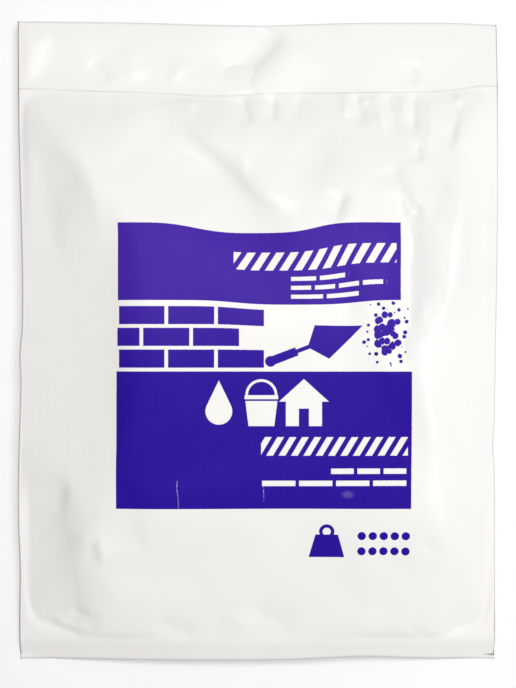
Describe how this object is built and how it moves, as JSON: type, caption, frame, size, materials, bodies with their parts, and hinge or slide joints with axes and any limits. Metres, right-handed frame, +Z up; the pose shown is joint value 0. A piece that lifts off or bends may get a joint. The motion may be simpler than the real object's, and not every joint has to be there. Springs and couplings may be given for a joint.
{
  "type": "cement bag",
  "caption": "Filled pillow sack of welded white film lying on its back, with a flat header above the top weld, a narrow skirt below and a printed panel on its bulging face.",
  "frame": {"origin": "on the floor under the middle of the sack, at the centre of the bottom of the whole object's box", "axes": "+X to the right of the printed face, +Y from the skirt to the header along the sack's length, +Z up out of the printed face"},
  "size_m": [0.382, 0.51, 0.0598],
  "materials": {
    "white_film": "smooth white polyethylene film with a soft gloss, printed in violet blue",
    "cement_powder": "fine dry grey powder"
  },
  "bodies": {
    "root": {"film_sack": "white_film", "cement_fill": "cement_powder"}
  },
  "joints": []
}
